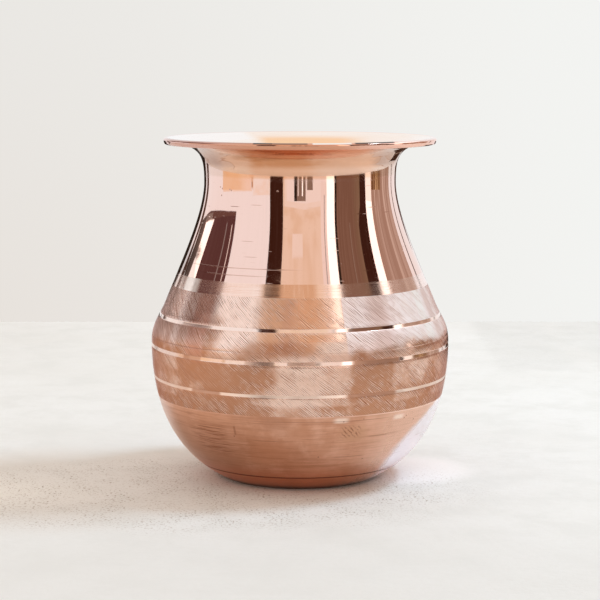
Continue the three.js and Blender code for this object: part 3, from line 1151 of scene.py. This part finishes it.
# Boards: name, finish, left and right azimuth, low and high edge, and how far it stands inside the ring.
# An edge's several heights are at even steps from the left end to the right.
BOARDS = [
    ("back", "cream", -180, -34.5),
    ("back_left_dark", "ink", -168, -144.5, 50, 99, 300),
    ("back_left_line", "umber", -144.5, -137.5, 0, 140, 4),
    ("left_square", "apricot", -102.2, -55.5, 0, 100, 4),
    ("left_square_low", "apricot_pale", -101, -57, 0, 113, 3),
    ("left_square_edge", "rust", -58, -55.5, 20, 95, 6),
    ("left_faint", "faint", -55.5, -34.5, 0, 150, 3),
    ("left_dark", "plum", -138, -77.5, PATCH_LOW, HIGH, 4),
    ("left_dark_top", "plum_top", -125, -77.5, PATCH_LOW[1:], PATCH_TOP_HIGH, 6),
    ("left_light", "taupe", -138, -116, (138, 175), HIGH, 8),
    ("left_dark_upper", "umber_pale", -138, -77.5, 335, HIGH, 10),
    ("left_streak", "white", -127, -111.5, (166, 196), STREAK_HIGH, 12),
    ("left_dashes", "grey", -89.6, -88.6, 250, 300, 8),
    ("left_line", "pale", -82, -81.2, 268, HIGH, 8),
    ("bar", "black", -34.5, -19.3, 0, 448),
    ("bar_top", "tan", -29, -19.3, 448),
    ("front", "peach", -19.3, 28),
    ("front_low", "blush", -15, 28, 0, (205, 225, 195), 5),
    ("front_mid", "blush_peach", -17.5, 28, 0, (245, 270, 235), 4),
    ("front_thing", "drab", -6.6, 6.4, 0, 205, 8),
    ("front_thing_side", "ink", -6.6, -3.6, 0, 205, 12),
    ("front_thing_light", "blush", -2.6, -1.6, 0, 160, 12),
    ("front_thing_glint", "white", 2.2, 3.2, 0, 160, 12),
    ("front_thing_end", "drab", 8, 14.5, 0, 98, 8),
    ("front_spot", "blush_peach", -8.5, 3, 378, 430, 8),
    ("stripe_pale", "pale", 23.5, 30.5, 0, HIGH, 6),
    ("stripe", "white", 30, 39.8, 0, HIGH, 2),
    ("stripe_line", "grey", 27.4, 28.1, 150, HIGH, 8),
    ("panel", "brown", 39.8, 72.8),
    ("panel_edge", "ink", 39.8, 42.4, 0, HIGH, 4),
    ("panel_streak", "drab", 57.5, 58.5, 300, HIGH, 4),
    ("right_black", "black", 72.8, 81.6),
    ("right_black_low", "black", 69.5, 73, (290, 200), HIGH, 2),
    ("right_cream", "white", 81.6, 90.8),
    ("right_cream_low", "bright", 81.6, 90.8, 0, 175, 2),
    ("right_clay", "clay", 90.8, 129, 0, UNDER_WINDOW),
    ("right_gold", "gold", 90.8, 108, 0, 100, 6),
    ("right_pale", "cream", 129, 180, 0, (UNDER_WINDOW, HIGH)),
    ("right_line", "umber", 136.5, 138.5, 0, HIGH, 4),
    ("back_right_dark", "umber", 161, 168, 15, 92, 300),
    ("back_right_edge", "umber", 149.5, 161, 80, 95, 300),
    ("glow", "sky", 91, 150, 330, 900, -60),
]
# Cards: name, finish, left, right, front and back edge
CARDS = [
    ("under_flare", "umber_dark", 90, 260, 216, 480),
    ("under_flare_light", "tan", 126, 137, 214, 480),
]


def board_look(name, colour, streaks=None, amount=0.3, mottle=None, fade=None, fineness=40):
    look = Look("board_" + name)
    if fade:
        other, start, end = fade
        colour = look.blend(look.turn.step(radians(start), radians(end)), colour, other)
    if streaks:
        lines = look.rings(fineness, 0.002, 3, 0.7)
        colour = look.blend(lines.step(0.45, 0.75, 0, amount), colour, streaks)
    if mottle:
        colour = look.blend(look.noise(0.012, 3).step(0.4, 0.7, 0, amount), colour, mottle)
    return look.finish(look.node("Emission", {"Color": colour, "Strength": 1}))


def reflector(name, vertices, faces, finish):
    item = new_object(name, vertices, faces, board_looks[finish])
    for ray in ("camera", "diffuse", "shadow", "transmission"):
        setattr(item, "visible_" + ray, False)


def board(name, finish, left, right, low=0, high=HIGH, nearer=0):
    count = max(2, ceil((right - left) / BOARD_STEP) + 1)
    turns = np.linspace(left, right, count)
    bottoms = np.interp(turns, np.linspace(left, right, np.size(low)), np.atleast_1d(low))
    tops = np.interp(turns, np.linspace(left, right, np.size(high)), np.atleast_1d(high))
    radius = RING_RADIUS - nearer
    vertices = []
    for turn, bottom, top in zip(np.radians(turns), bottoms, tops):
        x = radius * sin(turn)
        y = -radius * cos(turn)
        vertices += [(x, y, bottom), (x, y, top)]
    faces = [(2 * k, 2 * k + 2, 2 * k + 3, 2 * k + 1) for k in range(count - 1)]
    reflector("board_" + name, vertices, faces, finish)


board_looks = {row[0]: board_look(*row) for row in BOARD_LOOKS}
for row in BOARDS:
    board(*row)
for name, finish, left, right, front, back in CARDS:
    corners = [(left, front), (right, front), (right, back), (left, back)]
    reflector("card_" + name, [(x, y, CARD_HEIGHT) for x, y in corners], [(0, 1, 2, 3)], finish)


# Light

KEY_AZIMUTH = 104.0
KEY_ELEVATION = 56.0
KEY_DISTANCE = 1100.0
KEY_WIDTH = 240.0
KEY_HEIGHT = 180.0
KEY_POWER = 4.9  # watts
KEY_COLOUR = (0.55, 0.80, 1.0)
AMBIENT = (0.82, 0.73, 0.65)
MIRRORED_ROOM = (1.0, 0.985, 0.965)
MIRRORED_STRENGTH = 0.95
WALL_LEFT_LOW = (0.80, 0.755, 0.71)
WALL_LEFT = (0.82, 0.80, 0.768)
WALL_RIGHT = (0.90, 0.905, 0.885)

key_data = bpy.data.lights.new("window", "AREA")
key_data.shape = "RECTANGLE"
key_data.size = KEY_WIDTH * MM
key_data.size_y = KEY_HEIGHT * MM
key_data.energy = KEY_POWER
key_data.color = KEY_COLOUR
key = bpy.data.objects.new("window", key_data)
azimuth = radians(KEY_AZIMUTH)
flat, rise = heading(KEY_ELEVATION)
towards = Vector((flat * sin(azimuth), -flat * cos(azimuth), rise))
key.location = towards * KEY_DISTANCE * MM
key.rotation_euler = towards.to_track_quat("Z", "Y").to_euler()
bpy.context.scene.collection.objects.link(key)


def make_room():
    """The wall that the camera sees, the room that the copper mirrors, and the plain light it gives."""
    world = bpy.data.worlds.new("room")
    bpy.context.scene.world = world
    room = Nodes(world)
    parts = room.node("SeparateXYZ", {0: room.node("TexCoord").output("Generated")})
    left = room.blend(parts.output(2).step(-0.16, 0.04), WALL_LEFT_LOW, WALL_LEFT)
    wall = room.blend(parts.output(0).step(-0.2, 0.2), left, WALL_RIGHT)
    seen = room.node("Background", {"Color": wall, "Strength": 1.0})
    light = room.node("Background", {"Color": AMBIENT, "Strength": 1.0})
    mirrored = room.node("Background", {"Color": MIRRORED_ROOM, "Strength": MIRRORED_STRENGTH})
    path = room.node("LightPath")
    shine = room.node("MixShader", {0: path.output("Is Glossy Ray"), 1: light, 2: mirrored})
    mixed = room.node("MixShader", {0: path.output("Is Camera Ray"), 1: shine, 2: seen})
    room.node("OutputWorld", {"Surface": mixed})


make_room()
